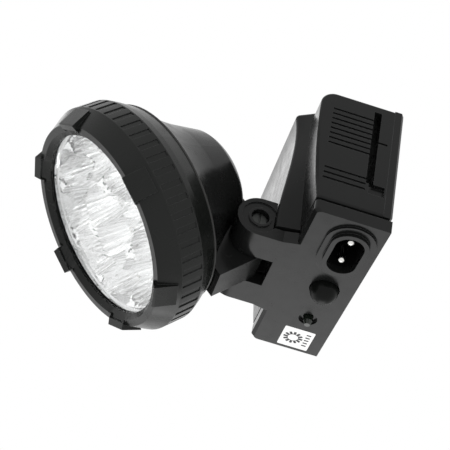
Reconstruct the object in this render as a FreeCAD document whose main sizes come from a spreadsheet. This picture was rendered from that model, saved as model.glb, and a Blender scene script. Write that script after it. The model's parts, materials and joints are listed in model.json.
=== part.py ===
import FreeCAD, Part
import math
import os
import re

import Sketcher
from FreeCAD import Placement, Rotation, Vector

# Miner's cap lamp, as worn: +Z up, -Y forward to the lit side, +X to the wearer's left.
# The origin is the centre of the flat rear face, where the lamp is held on the cap.
# Case pieces are drawn with z = 0 on the underside of the case. Head pieces are drawn on the
# lens axis, z forward and y up, with the hinge axis lens_rise below it at z = 0.

DIMENSIONS = {
    # battery case
    "case_width": 68.0,
    "case_height": 48.0,
    "wall": 2.0,
    "seam_height": 4.9,
    "seam_gap": 0.6,
    "rear_depth": 2.85,
    "front_foot": 22.65,
    "front_top": 26.0,
    "front_sweep": 230.0,
    "crown_radius": 4.7,
    "block_foot": 12.8,
    "block_reach": 21.6,
    "block_depth": 8.2,
    # raised centre of the case front
    "bulge_front_foot": 29.8,
    "bulge_front_waist": 29.2,
    "bulge_front_top": 30.8,
    "bulge_cavity_foot": 16.6,
    "bulge_root": 20.0,
    "bulge_round": 1.4,
    "end_round": 0.8,
    # screws of the rear cover
    "pilot_radius": 1.25,
    "screw_hole_radius": 1.4,
    "screw_head_radius": 2.3,
    "screw_head_height": 1.3,
    "cover_chamfer": 0.7,
    # snap catches between case and base
    "catch_front": 18.0,
    "catch_rear": 12.0,
    "catch_play": 0.4,
    "lip_thickness": 1.1,
    "lip_height": 4.8,
    "post_radius": 1.4,
    # strap slots and grips on the side panels
    "strap_slot_foot": 15.7,
    "strap_slot_top": 45.2,
    "strap_slot_width": 1.8,
    "strap_slot_setback": 8.1,
    "strap_exit": 27.5,
    "nick_length": 4.0,
    "nick_level": 32.8,
    "nick_width": 0.8,
    "nick_depth": 1.4,
    "slot_foot_front": 8.3,
    "slot_foot_rear": 3.4,
    "slot_foot_drop": 3.7,
    "slot_foot_depth": 1.2,
    "grip_pitch": 2.02,
    "grip_width": 0.8,
    "grip_depth": 0.6,
    "grip_upper_foot": 27.2,
    "grip_lower_foot": 13.2,
    "grip_rear": 9.2,
    "grip_front": 22.0,
    # hinge
    "hinge_forward": 34.5,
    "hinge_height": 6.85,
    "ear_gap": 12.4,
    "ear_width": 33.0,
    "ear_root_rear": 21.0,
    "ear_root_half": 17.9,
    "ring_inner": 3.5,
    "ring_outer": 5.55,
    "ring_depth": 0.5,
    "screw_seat_radius": 2.75,
    "screw_sink": 1.5,
    "washer_radius": 5.6,
    "window_depth": 26.7,
    "keel_width": 11.4,
    "knuckle_radius": 6.8,
    "screw_radius": 2.2,
    "bore_clearance": 0.05,
    "washer_thickness": 0.42,
    # head
    "tilt": 46.0,
    "lens_rise": 26.5,
    "lens_radius": 29.5,
    "lens_thickness": 2.0,
    "lens_face": 35.2,
    "lip_radius": 27.9,
    "bezel_front": 37.5,
    "bezel_rear": 16.5,
    "seal_foot": 20.0,
    "spigot_radius": 29.0,
    "spigot_front": 31.0,
    "bowl_rim": 29.9,
    "bowl_rear": -8.8,
    "rear_sweep": 14.0,
    "flare_sweep": 70.0,
    "bowl_wall": 2.2,
    "hollow_radius": 27.4,
    "lug_width": 7.8,
    "lug_start": 41.5,
    "lug_radius": 32.0,
    "lug_front": 39.7,
    "rim_inner": 29.4,
    "rib_gap": 1.8,
    "rib_foot": 24.6,
    "rib_head": 31.3,
    "rib_depth": 0.75,
    "band_radius": 35.05,
    "lug_count": 6,
    "rib_count": 51,
    "rib_start": 4.2,
    # light unit
    "outer_cups": 9,
    "outer_ring": 20.2,
    "outer_mouth": 6.85,
    "inner_cups": 3,
    "inner_ring": 6.9,
    "inner_mouth": 5.9,
    "cup_foot": 15.0,
    "cup_mouth": 32.2,
    "cup_foot_radius": 2.6,
    "led_radius": 2.4,
    "led_height": 7.6,
    "board_radius": 24.5,
    "board_thickness": 1.6,
    # underside
    "inlet_x": 20.7,
    "inlet_setback": 8.8,
    "inlet_width": 16.0,
    "inlet_depth": 8.6,
    "inlet_wall": 1.4,
    "inlet_floor": 8.6,
    "inlet_seat": 0.4,
    "collar_width": 23.0,
    "collar_depth": 15.0,
    "collar_rise": 0.8,
    "inlet_rise": 2.0,
    "tail_radius": 0.7,
    "pin_foot": -0.6,
    "pin_bevel": 0.7,
    "pin_pitch": 8.6,
    "pin_radius": 1.18,
    "button_x": 0.8,
    "button_setback": 8.85,
    "button_radius": 4.35,
    "button_rise": 4.8,
    "indicator_x": -15.8,
    "indicator_setback": 8.75,
    "indicator_radius": 1.5,
    "board_level": 10.4,
    "board_width": 60.0,
    "board_depth": 16.0,
    "board_setback": 11.6,
    # battery
    "battery_width": 31.0,
    "battery_depth": 22.0,
    "battery_height": 28.0,
    "battery_foot": 17.2,
    "battery_setback": 4.4,
    "battery_round": 1.5,
}

REAR_SCREW_X = "24.2"
REAR_SCREW_HEIGHTS = ("18", "42")
BOARD_POSTS = (("-26", "-16.6"), ("26", "-17.6"))
ALONG_X = Rotation(Vector(0, 1, 0), 90)
FORWARD = Rotation(Vector(1, 0, 0), 90)

doc = FreeCAD.newDocument("cap_lamp")
sheet = doc.addObject("Spreadsheet::Sheet", "Dims")
for row, (alias, value) in enumerate(DIMENSIONS.items(), start=1):
    sheet.set(f"A{row}", alias.replace("_", " "))
    sheet.set(f"B{row}", str(value))
    sheet.setAlias(f"B{row}", alias)
doc.recompute()

SUB_PARTS = []


def formula(text):
    """The expression text with every dimension's name turned into its cell on the sheet."""
    return re.sub(r"[a-z][a-z_]+", lambda m: f"Dims.{m[0]}" if m[0] in DIMENSIONS else m[0], str(text))


def bind(thing, prop, text):
    thing.setExpression(prop, formula(text))


def value_of(text):
    return float(sheet.evalExpression(formula(text)))


def keep(thing, label):
    """Register a finished sub-part under the name that its file takes."""
    thing.Label = label
    SUB_PARTS.append(thing)
    return thing


def place_on_case(thing, x="0", setback="0"):
    bind(thing, "Placement.Base.x", x)
    bind(thing, "Placement.Base.y", f"-({setback})")
    bind(thing, "Placement.Base.z", "-case_height / 2")


def place_on_head(thing):
    thing.Placement = Placement(Vector(), Rotation(Vector(1, 0, 0), 90 + DIMENSIONS["tilt"]))
    bind(thing, "Placement.Rotation.Angle", "90 + tilt")
    bind(thing, "Placement.Base.y", "-hinge_forward - lens_rise * sin(tilt)")
    bind(thing, "Placement.Base.z", "hinge_height - case_height / 2 + lens_rise * cos(tilt)")


# Sketches


def new_body(name):
    return doc.addObject("PartDesign::Body", name)


def origin_feature(body, role):
    return next(f for f in body.Origin.OriginFeatures if f.Role == role)


def sketch_on(body, plane, name, offset="0", turn="0"):
    """A sketch on one of the body's own planes, moved along its normal and turned about its upright."""
    sketch = body.newObject("Sketcher::SketchObject", name)
    sketch.AttachmentSupport = [(origin_feature(body, plane), "")]
    sketch.MapMode = "FlatFace"
    if turn != "0":
        sketch.AttachmentOffset = Placement(Vector(), Rotation(Vector(0, 1, 0), value_of(turn)))
        bind(sketch, "AttachmentOffset.Rotation.Angle", turn)
    if offset != "0":
        bind(sketch, "AttachmentOffset.Base.z", offset)
    return sketch


def constrain(sketch, kind, *where, text):
    number = sketch.addConstraint(Sketcher.Constraint(kind, *where, value_of(text)))
    bind(sketch, f"Constraints[{number}]", text)


def pin_point(sketch, geometry, end, x, y):
    """Fix a point of the sketch at the place that two expressions give."""
    for kind, text, axis in (("DistanceX", x, -2), ("DistanceY", y, -1)):
        if text == "0":
            sketch.addConstraint(Sketcher.Constraint("PointOnObject", geometry, end, axis))
        else:
            constrain(sketch, kind, -1, 1, geometry, end, text=text)


def outline(sketch, corners, arcs=None):
    """Closed outline through corners. arcs gives, for a stretch's number, its radius and which way it
    swells: 1 to the left of the direction of travel, -1 to the right."""
    arcs = arcs or {}
    points = [Vector(value_of(x), value_of(y), 0) for x, y in corners]
    first = sketch.GeometryCount
    count = len(points)
    ends = []
    for i, start in enumerate(points):
        stop = points[(i + 1) % count]
        if i not in arcs:
            sketch.addGeometry(Part.LineSegment(start, stop))
            ends.append((1, 2))
            continue
        radius, side = value_of(arcs[i][0]), arcs[i][1]
        chord = stop - start
        across = Vector(-chord.y, chord.x, 0).normalize() * side
        rise = radius - math.sqrt(max(radius ** 2 - chord.Length ** 2 / 4, 0))
        curve = Part.Arc(start, (start + stop) / 2 + across * rise, stop)
        sketch.addGeometry(curve)
        ends.append((1, 2) if side < 0 else (2, 1))
    for i in range(count):
        after = (i + 1) % count
        meeting = (first + i, ends[i][1], first + after, ends[after][0])
        sketch.addConstraint(Sketcher.Constraint("Coincident", *meeting))
    for i, (x, y) in enumerate(corners):
        pin_point(sketch, first + i, ends[i][0], x, y)
    for i, (radius, side) in arcs.items():
        constrain(sketch, "Radius", first + i, text=radius)


def rectangle(sketch, left, right, low, high):
    outline(sketch, [(left, low), (right, low), (right, high), (left, high)])


def circle(sketch, x, y, radius):
    centre = Vector(value_of(x), value_of(y), 0)
    number = sketch.addGeometry(Part.Circle(centre, Vector(0, 0, 1), value_of(radius)))
    pin_point(sketch, number, 3, x, y)
    constrain(sketch, "Radius", number, text=radius)


def obround(sketch, x, y, width, depth):
    """A slot shape lying along the sketch's x, width long and depth high."""
    radius = value_of(depth) / 2
    reach = value_of(width) / 2 - radius
    centre = Vector(value_of(x), value_of(y), 0)
    right, left, up = Vector(reach, 0, 0), Vector(-reach, 0, 0), Vector(0, radius, 0)
    normal = Vector(0, 0, 1)
    cap_right = Part.ArcOfCircle(Part.Circle(centre + right, normal, radius), -math.pi / 2, math.pi / 2)
    cap_left = Part.ArcOfCircle(Part.Circle(centre + left, normal, radius), math.pi / 2, 3 * math.pi / 2)
    n = sketch.GeometryCount
    sketch.addGeometry(cap_right)
    sketch.addGeometry(Part.LineSegment(centre + right + up, centre + left + up))
    sketch.addGeometry(cap_left)
    sketch.addGeometry(Part.LineSegment(centre + left - up, centre + right - up))
    for i in range(4):
        sketch.addConstraint(Sketcher.Constraint("Tangent", n + i, 2, n + (i + 1) % 4, 1))
    pin_point(sketch, n, 3, f"{x} + (({width}) - ({depth})) / 2", y)
    pin_point(sketch, n + 2, 3, f"{x} - (({width}) - ({depth})) / 2", y)
    constrain(sketch, "Radius", n, text=f"({depth}) / 2")


# Features of a body


def feature(body, kind, name, sketch, length=None, symmetric=False, reverse=False):
    """Pad or Pocket a sketch; without a length a pocket goes through everything."""
    made = body.newObject(f"PartDesign::{kind}", name)
    made.Profile = sketch
    if length is None:
        made.Type = "ThroughAll"
    else:
        bind(made, "Length", length)
    made.SideType = "Symmetric" if symmetric else "One side"
    made.Reversed = reverse
    sketch.Visibility = False
    return made


def turned(body, kind, name, sketch):
    """Revolution or Groove of a sketch about its own upright axis."""
    made = body.newObject(f"PartDesign::{kind}", name)
    made.Profile = sketch
    made.ReferenceAxis = (sketch, ["V_Axis"])
    made.Angle = 360
    return made


def polar(body, name, originals, count):
    made = body.newObject("PartDesign::PolarPattern", name)
    made.Originals = originals
    made.Axis = (origin_feature(body, "Z_Axis"), [""])
    made.Angle = 360
    bind(made, "Occurrences", count)
    body.Tip = made
    return made


def mirrored(body, name, originals):
    """Repeat features on the other side of the middle plane."""
    made = body.newObject("PartDesign::Mirrored", name)
    made.Originals = originals
    made.MirrorPlane = (origin_feature(body, "YZ_Plane"), [""])
    body.Tip = made
    return made


def edge_feature(body, kind, name, prop, size, wanted):
    """Fillet or Chamfer on the edges of the body so far for which wanted(edge) is true."""
    doc.recompute()
    base = body.Tip
    edges = [f"Edge{i}" for i, edge in enumerate(base.Shape.Edges, start=1) if wanted(edge)]
    made = body.newObject(f"PartDesign::{kind}", name)
    made.Base = (base, edges)
    bind(made, prop, size)
    doc.recompute()
    return made


def rounded(body, name, radius, wanted):
    return edge_feature(body, "Fillet", name, "Radius", radius, wanted)


def bevelled(body, name, size, wanted):
    return edge_feature(body, "Chamfer", name, "Size", size, wanted)


# Part primitives and booleans


def placed(thing, x, y, z):
    for letter, text in zip("xyz", (x, y, z)):
        bind(thing, f"Placement.Base.{letter}", text)
    return thing


def block(name, sizes, centre, foot):
    """A box of the given sizes, centred on x and y, standing on the height foot."""
    box = doc.addObject("Part::Box", name)
    for prop, text in zip(("Length", "Width", "Height"), sizes):
        bind(box, prop, text)
    return placed(box, f"{centre[0]} - ({sizes[0]}) / 2", f"{centre[1]} - ({sizes[1]}) / 2", foot)


def rod(name, radius, length, start, turn=None):
    """A cylinder from start along +Z, or along the axis that turn lays +Z on."""
    made = doc.addObject("Part::Cylinder", name)
    bind(made, "Radius", radius)
    bind(made, "Height", length)
    if turn:
        made.Placement = Placement(Vector(), turn)
    return placed(made, *start)


def cone(name, low_radius, high_radius, low, high, x="0", y="0"):
    made = doc.addObject("Part::Cone", name)
    bind(made, "Radius1", low_radius)
    bind(made, "Radius2", high_radius)
    bind(made, "Height", f"{high} - ({low})")
    return placed(made, x, y, low)


def joined(name, pieces):
    made = doc.addObject("Part::MultiFuse", name)
    made.Shapes = pieces
    made.Refine = True
    return made


def cut(name, base, tools):
    made = doc.addObject("Part::Cut", name)
    made.Base = base
    made.Tool = tools[0] if len(tools) == 1 else joined(f"{name}_tools", tools)
    return made


def group(name, pieces):
    """Separate solids that share one node."""
    made = doc.addObject("Part::Compound", name)
    made.Links = pieces
    return made


def prism(name, sides, radius, length, start):
    made = doc.addObject("Part::Prism", name)
    made.Polygon = sides
    bind(made, "Circumradius", radius)
    bind(made, "Height", length)
    return placed(made, *start)


def faceted_cone(name, sides, low_radius, high_radius, low, high, x, y):
    """A cone with flat facets, between two polygons."""
    ends = []
    for place, radius, level in (("low", low_radius, low), ("high", high_radius, high)):
        polygon = doc.addObject("Part::RegularPolygon", f"{name}_{place}")
        polygon.Polygon = sides
        bind(polygon, "Circumradius", radius)
        ends.append(placed(polygon, x, y, level))
    made = doc.addObject("Part::Loft", name)
    made.Sections = ends
    made.Solid = True
    made.Ruled = True
    made.Linearize = True
    return made


def slotted_screw(name, radius, length, head_radius, head_height, start, turn):
    """A screw with its head's outer face at start, pointing along turn's +Z, with a driver slot."""
    head = rod(f"{name}_head", head_radius, head_height, ("0", "0", "0"))
    shank = prism(f"{name}_shank", 8, radius, length, ("0", "0", "0"))
    slot = block(f"{name}_slot", (f"{head_radius} * 2.4", "0.6", f"({head_height}) / 2"), ("0", "0"), "0")
    made = cut(name, joined(f"{name}_blank", [head, shank]), [slot])
    made.Placement = Placement(Vector(), turn)
    return placed(made, *start)


# Battery case


def case_profile(sketch, inset, rear, low):
    """Side outline of the case: swept front, rounded crown. inset moves it inside the walls."""
    front = f"-(front_top - {inset})"
    outline(
        sketch,
        [
            (rear, low),
            (f"-(front_foot - {inset})", low),
            (front, "case_height - crown_radius"),
            ("-(front_top - crown_radius)", f"case_height - {inset}"),
            (rear, f"case_height - {inset}"),
        ],
        {1: ("front_sweep", 1), 2: (f"crown_radius - {inset}", 1)},
    )


def bulge_sections(body, name, levels, inset):
    """Sketches across the raised centre, one a level: (height, front depth, front and rear half width)."""
    made = []
    for i, (level, front, half_front, half_rear) in enumerate(levels):
        sketch = sketch_on(body, "XY_Plane", f"{name}_{i}", offset=level)
        deep = f"-({front} - {inset})"
        outline(
            sketch,
            [
                (f"-({half_rear} - {inset})", "-bulge_root"),
                (f"-({half_front} - {inset} * 1.15)", deep),
                (f"{half_front} - {inset} * 1.15", deep),
                (f"{half_rear} - {inset}", "-bulge_root"),
            ],
        )
        made.append(sketch)
    return made


def loft(body, kind, name, sections):
    made = body.newObject(f"PartDesign::{kind}", name)
    made.Profile = sections[0]
    made.Sections = sections[1:]
    return made


BULGE = [
    ("seam_height + seam_gap / 2", "bulge_front_foot", "16.6", "18.2"),
    ("18", "bulge_front_foot", "18.6", "25"),
    ("33", "bulge_front_waist", "20.2", "29"),
    ("case_height", "bulge_front_top", "20.8", "27"),
]
BULGE_CAVITY = [
    ("bulge_cavity_foot", "bulge_front_foot", "18.4", "24.4"),
    ("33", "bulge_front_waist", "20.2", "29"),
    ("case_height - wall", "bulge_front_top - 0.2", "20.7", "27.2"),
]


def make_main_case():
    body = new_body("main_case")
    profile = sketch_on(body, "YZ_Plane", "case_profile")
    case_profile(profile, "0", "-rear_depth", "seam_height + seam_gap / 2")
    feature(body, "Pad", "case_shell", profile, "case_width", symmetric=True)
    loft(body, "AdditiveLoft", "bulge", bulge_sections(body, "bulge_section", BULGE, "0"))
    crown = value_of("case_height") - 0.1
    junction = -value_of("front_top") - 0.5
    behind = -value_of("bulge_root") - 0.5

    def bulge_edge(edge):
        box = edge.BoundBox
        front_upright = box.YMax < junction and box.ZLength > 30
        round_the_top = box.ZMin > crown and box.YMax < behind and box.YMin < junction
        return front_upright or round_the_top

    rounded(body, "bulge_rounds", "bulge_round", bulge_edge)

    def end_edge(edge):
        box = edge.BoundBox
        return box.XLength < 0.01 and abs(box.XMin) > value_of("case_width") / 2 - 0.1 and box.YMin < -3

    rounded(body, "end_rounds", "end_round", end_edge)

    cavity = sketch_on(body, "YZ_Plane", "cavity_profile")
    case_profile(cavity, "wall", "1", "-1")
    feature(body, "Pocket", "cavity", cavity, "case_width - 2 * wall", symmetric=True)
    inner_sections = bulge_sections(body, "bulge_cavity_section", BULGE_CAVITY, "wall")
    loft(body, "SubtractiveLoft", "bulge_cavity", inner_sections)

    corner = sketch_on(body, "XY_Plane", "strap_block_outline", offset="block_foot")
    block_front = "-(rear_depth + block_depth)"
    rectangle(corner, "block_reach", "case_width / 2 - wall / 2", block_front, "-rear_depth")
    blocks = feature(body, "Pad", "strap_block", corner, "case_height - wall / 2 - block_foot")
    mirrored(body, "strap_blocks", [blocks])

    notch = sketch_on(body, "XY_Plane", "knuckle_notch_outline")
    rectangle(notch, "-ear_gap / 2", "ear_gap / 2", "-hinge_forward", "-window_depth")
    feature(body, "Pocket", "knuckle_notch", notch, "hinge_height + knuckle_radius + 1.2", reverse=True)

    strap = sketch_on(body, "XY_Plane", "strap_slot_outline", offset="strap_slot_foot")
    strap_slot(strap)
    slot = feature(body, "Pocket", "strap_slot", strap, "strap_slot_top - strap_slot_foot", reverse=True)
    pilots = sketch_on(body, "XZ_Plane", "pilot_centres", offset="rear_depth")
    for height in REAR_SCREW_HEIGHTS:
        circle(pilots, REAR_SCREW_X, height, "pilot_radius")
    pilot = feature(body, "Pocket", "screw_pilots", pilots, "block_depth - 1", reverse=True)
    grips = sketch_on(body, "YZ_Plane", "grip_outline", offset="case_width / 2")
    for foot, count in (("grip_upper_foot", 8), ("grip_lower_foot", 3)):
        for i in range(count):
            low = f"{foot} + {i} * grip_pitch - grip_width / 2"
            rectangle(grips, "-grip_front", "-grip_rear", low, f"{low} + grip_width")
    grip = feature(body, "Pocket", "grips", grips, "grip_depth")
    foot = sketch_on(body, "YZ_Plane", "slot_foot_outline", offset="case_width / 2")
    foot_low, foot_high = "strap_slot_foot - slot_foot_drop", "strap_slot_foot + 0.1"
    rectangle(foot, "-slot_foot_front", "-slot_foot_rear", foot_low, foot_high)
    foot_recess = feature(body, "Pocket", "slot_foot", foot, "slot_foot_depth")
    side_nick = sketch_on(body, "YZ_Plane", "strap_nick_outline", offset="case_width / 2")
    nick_low, nick_high = "nick_level - nick_width / 2", "nick_level + nick_width / 2"
    rectangle(side_nick, "-strap_slot_setback", "nick_length - strap_slot_setback", nick_low, nick_high)
    nick = feature(body, "Pocket", "strap_nick", side_nick, "nick_depth")
    catch = sketch_on(body, "XY_Plane", "catch_outline", offset="seam_height + seam_gap")
    catch_front, catch_rear = "-catch_front - catch_play", "-catch_rear + catch_play"
    rectangle(catch, "case_width / 2 - wall - 0.1", "case_width / 2 - wall + 0.5", catch_front, catch_rear)
    groove = feature(body, "Pocket", "catch_groove", catch, "1.5", reverse=True)
    mirrored(body, "both_sides", [slot, pilot, grip, foot_recess, nick, groove])
    place_on_case(body)
    keep(body, "main_case")


def strap_slot(sketch):
    """The strap's way through the rear corner, slanting from the side panel out to the rear face."""
    half = "strap_slot_width / 2"
    outline(
        sketch,
        [
            ("case_width / 2 + 1", f"-strap_slot_setback - {half} * 1.3"),
            ("case_width / 2 + 1", f"-strap_slot_setback + {half} * 1.3"),
            ("case_width / 2 - 0.4", f"-strap_slot_setback + {half} * 1.3"),
            (f"strap_exit + {half} * 1.3", "0.6"),
            (f"strap_exit - {half} * 1.3", "0.6"),
            ("case_width / 2 - 1.6", f"-strap_slot_setback - {half} * 1.3"),
        ],
    )


def make_rear_cover():
    body = new_body("rear_cover")
    profile = sketch_on(body, "XZ_Plane", "cover_outline")
    rectangle(profile, "-case_width / 2", "case_width / 2", "seam_height + seam_gap / 2", "case_height")
    feature(body, "Pad", "cover_plate", profile, "rear_depth")
    bevelled(body, "cover_edges", "cover_chamfer", lambda edge: edge.BoundBox.YMin > -0.01)
    strap = sketch_on(body, "XY_Plane", "strap_slot_outline", offset="strap_slot_foot")
    strap_slot(strap)
    slot = feature(body, "Pocket", "strap_slot", strap, "strap_slot_top - strap_slot_foot", reverse=True)
    holes = sketch_on(body, "XZ_Plane", "screw_holes")
    seats = sketch_on(body, "XZ_Plane", "screw_seats")
    for height in REAR_SCREW_HEIGHTS:
        circle(holes, REAR_SCREW_X, height, "screw_hole_radius")
        circle(seats, REAR_SCREW_X, height, "screw_head_radius + 0.3")
    hole = feature(body, "Pocket", "screw_hole", holes, "rear_depth", reverse=True)
    seat = feature(body, "Pocket", "screw_seat", seats, "screw_head_height + 0.3", reverse=True)
    mirrored(body, "both_sides", [slot, hole, seat])
    place_on_case(body)
    keep(body, "rear_cover")


def make_rear_cover_screws():
    screws = []
    for side in ("", "-"):
        for height in REAR_SCREW_HEIGHTS:
            name = f"rear_screw_{len(screws)}"
            place = (f"{side}{REAR_SCREW_X}", "-0.3", height)
            sizes = ("pilot_radius - 0.05", "8.5", "screw_head_radius", "screw_head_height")
            screws.append(slotted_screw(name, *sizes, place, FORWARD))
    node = group("rear_cover_screws", screws)
    place_on_case(node)
    keep(node, "rear_cover_screws")


def make_base_cover():
    body = new_body("base_cover")
    profile = sketch_on(body, "YZ_Plane", "base_profile")
    top = "seam_height - seam_gap / 2"
    front = "-front_foot"
    outline(profile, [("0", "0"), (f"{front} + 1", "0"), (front, "1"), (front, top), ("0", top)])
    feature(body, "Pad", "base_plate", profile, "case_width", symmetric=True)

    def front_corner(edge):
        box = edge.BoundBox
        return box.YMax < -20 and box.XLength < 0.01 and box.YLength < 1.5

    rounded(body, "front_corners", "1.2", front_corner)

    root = sketch_on(body, "XY_Plane", "root_outline")
    outline(
        root,
        [
            ("-ear_root_half", "-ear_root_rear"),
            ("-ear_width / 2", "-window_depth"),
            ("ear_width / 2", "-window_depth"),
            ("ear_root_half", "-ear_root_rear"),
        ],
    )
    feature(body, "Pad", "ear_root", root, top)

    ear = sketch_on(body, "YZ_Plane", "ear_profile", offset="ear_gap / 2")
    outline(
        ear,
        [
            ("-22", "0"),
            ("-hinge_forward", "0"),
            ("-hinge_forward - hinge_height", "hinge_height"),
            ("-hinge_forward", "2 * hinge_height"),
            ("-bulge_front_foot - 0.3", "2 * hinge_height"),
            ("-bulge_front_foot - 0.3", top),
            ("-22", top),
        ],
        {1: ("hinge_height", 1), 2: ("hinge_height", 1)},
    )
    ear_pad = feature(body, "Pad", "ear", ear, "(ear_width - ear_gap) / 2")
    ring = sketch_on(body, "YZ_Plane", "ear_ring", offset="ear_width / 2")
    circle(ring, "-hinge_forward", "hinge_height", "ring_outer")
    circle(ring, "-hinge_forward", "hinge_height", "ring_inner")
    ring_cut = feature(body, "Pocket", "ear_ring_groove", ring, "ring_depth")
    seat = sketch_on(body, "YZ_Plane", "screw_seat_outline", offset="ear_width / 2")
    circle(seat, "-hinge_forward", "hinge_height", "screw_seat_radius")
    seat_cut = feature(body, "Pocket", "screw_seat", seat, "screw_sink + 0.7")
    mirrored(body, "both_ears", [ear_pad, ring_cut, seat_cut])
    bore = sketch_on(body, "YZ_Plane", "hinge_bore_outline")
    circle(bore, "-hinge_forward", "hinge_height", "screw_radius + bore_clearance")
    feature(body, "Pocket", "hinge_bore", bore, "ear_width + 2", symmetric=True)

    hollow = sketch_on(body, "XY_Plane", "tray_outline", offset="wall")
    rectangle(hollow, "-case_width / 2 + wall", "case_width / 2 - wall", "-(front_foot - wall)", "-wall")
    feature(body, "Pocket", "tray", hollow, "case_height", reverse=True)
    lip = sketch_on(body, "XY_Plane", "lip_outline", offset="wall - 0.4")
    outer, inner = "case_width / 2 - wall - 0.15", "case_width / 2 - wall - 0.15 - lip_thickness"
    front, rear = "-(front_foot - wall - 0.3)", "-rear_depth - 0.3"
    inner_front = f"{front} + lip_thickness"
    outline(
        lip,
        [
            (f"-({outer})", rear),
            (f"-({outer})", front),
            (outer, front),
            (outer, rear),
            (inner, rear),
            (inner, inner_front),
            (f"-({inner})", inner_front),
            (f"-({inner})", rear),
        ],
    )
    feature(body, "Pad", "lip", lip, "lip_height + 0.4")
    bead = sketch_on(body, "XY_Plane", "bead_outline", offset="seam_height + seam_gap + 0.2")
    bead_inner, bead_outer = "case_width / 2 - wall - 0.6", "case_width / 2 - wall + 0.3"
    rectangle(bead, bead_inner, bead_outer, "-catch_front", "-catch_rear")
    mirrored(body, "catch_beads", [feature(body, "Pad", "catch_bead", bead, "1")])
    posts = sketch_on(body, "XY_Plane", "post_outline", offset="wall - 0.4")
    for x, y in BOARD_POSTS:
        circle(posts, x, y, "post_radius")
    feature(body, "Pad", "board_posts", posts, "board_level + board_thickness + 0.6 - wall + 0.4")

    collar = sketch_on(body, "XY_Plane", "collar_outline")
    obround(collar, "inlet_x", "-inlet_setback", "collar_width", "collar_depth")
    feature(body, "Pad", "inlet_collar", collar, "collar_rise", reverse=True)
    rim = sketch_on(body, "XY_Plane", "rim_outline")
    rim_width, rim_depth = "inlet_width + 2 * inlet_wall", "inlet_depth + 2 * inlet_wall"
    obround(rim, "inlet_x", "-inlet_setback", rim_width, rim_depth)
    feature(body, "Pad", "inlet_rim", rim, "inlet_rise", reverse=True)
    mouth = sketch_on(body, "XY_Plane", "mouth_outline", offset="-inlet_rise")
    obround(mouth, "inlet_x", "-inlet_setback", "inlet_width", "inlet_depth")
    feature(body, "Pocket", "inlet_mouth", mouth, "8", reverse=True)
    seat = sketch_on(body, "XY_Plane", "insert_seat_outline", offset="inlet_seat")
    obround(seat, "inlet_x", "-inlet_setback", rim_width, rim_depth)
    feature(body, "Pocket", "insert_seat", seat, "8", reverse=True)
    holes = sketch_on(body, "XY_Plane", "underside_holes", offset="-1")
    circle(holes, "button_x", "-button_setback", "button_radius + 0.25")
    circle(holes, "indicator_x", "-indicator_setback", "indicator_radius + 0.15")
    feature(body, "Pocket", "underside_openings", holes, "wall + 2", reverse=True)
    dish = sketch_on(body, "XY_Plane", "indicator_dish_outline")
    circle(dish, "indicator_x", "-indicator_setback", "2.95")
    feature(body, "Pocket", "indicator_dish", dish, "1", reverse=True)
    place_on_case(body)
    keep(body, "base_cover")


# Hinge


def make_hinge_screw():
    length = "ear_width - 2 * screw_sink"
    shaft = rod("hinge_shaft", "screw_radius", length, (f"-({length}) / 2", "0", "0"), ALONG_X)
    slot_sizes = ("1", "0.7", "screw_radius * 2.4")
    slot = block("hinge_driver_slot", slot_sizes, (f"({length}) / 2", "0"), "-screw_radius * 1.2")
    node = cut("hinge_screw", shaft, [slot])
    placed(node, "0", "-hinge_forward", "hinge_height - case_height / 2")
    keep(node, "hinge_screw")


def make_friction_washers():
    rings = []
    for side, x in (("left", "ear_gap / 2 - washer_thickness"), ("right", "-ear_gap / 2")):
        start = (x, "0", "0")
        disc = rod(f"washer_disc_{side}", "washer_radius", "washer_thickness", start, ALONG_X)
        bore = "screw_radius + bore_clearance"
        hole = rod(f"washer_hole_{side}", bore, "washer_thickness", start, ALONG_X)
        rings.append(cut(f"washer_{side}", disc, [hole]))
    node = group("friction_washers", rings)
    placed(node, "0", "-hinge_forward", "hinge_height - case_height / 2")
    keep(node, "friction_washers")


# Head


def make_head_housing():
    body = new_body("head_housing")
    shell = sketch_on(body, "XZ_Plane", "bowl_outline")
    outline(
        shell,
        [
            ("0", "bowl_rear"),
            ("7.6", "bowl_rear"),
            ("17.4", "-4"),
            ("21.9", "5"),
            ("bowl_rim", "bezel_rear - 0.1"),
            ("spigot_radius", "bezel_rear - 0.1"),
            ("spigot_radius", "spigot_front"),
            ("0", "spigot_front"),
        ],
        {1: ("rear_sweep", -1), 3: ("flare_sweep", 1)},
    )
    turned(body, "Revolution", "bowl", shell)

    keel = sketch_on(body, "YZ_Plane", "keel_profile")
    below = "-lens_rise - knuckle_radius"
    outline(
        keel,
        [
            ("-lens_rise", "-knuckle_radius"),
            (below, "0"),
            (below, "bezel_rear - 0.1"),
            ("-lens_rise + 4", "bezel_rear - 0.1"),
            ("-11", "-4"),
            ("-12.5", "-knuckle_radius"),
        ],
        {0: ("knuckle_radius", -1)},
    )
    feature(body, "Pad", "keel", keel, "keel_width", symmetric=True)
    doc.recompute()
    inside = sketch_on(body, "XZ_Plane", "hollow_outline")
    outline(
        inside,
        [
            ("0", "bowl_rear + bowl_wall"),
            ("7", "bowl_rear + bowl_wall"),
            ("15.5", "-2.8"),
            ("20.1", "6.1"),
            ("hollow_radius", "bezel_rear + 0.2"),
            ("hollow_radius", "spigot_front + 1"),
            ("0", "spigot_front + 1"),
        ],
        {1: ("rear_sweep - bowl_wall", -1)},
    )
    turned(body, "Groove", "hollow", inside)
    bore = sketch_on(body, "YZ_Plane", "knuckle_bore_outline")
    circle(bore, "-lens_rise", "0", "screw_radius + bore_clearance")
    feature(body, "Pocket", "knuckle_bore", bore, "keel_width + 2", symmetric=True)
    place_on_head(body)
    keep(body, "head_housing")


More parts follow.
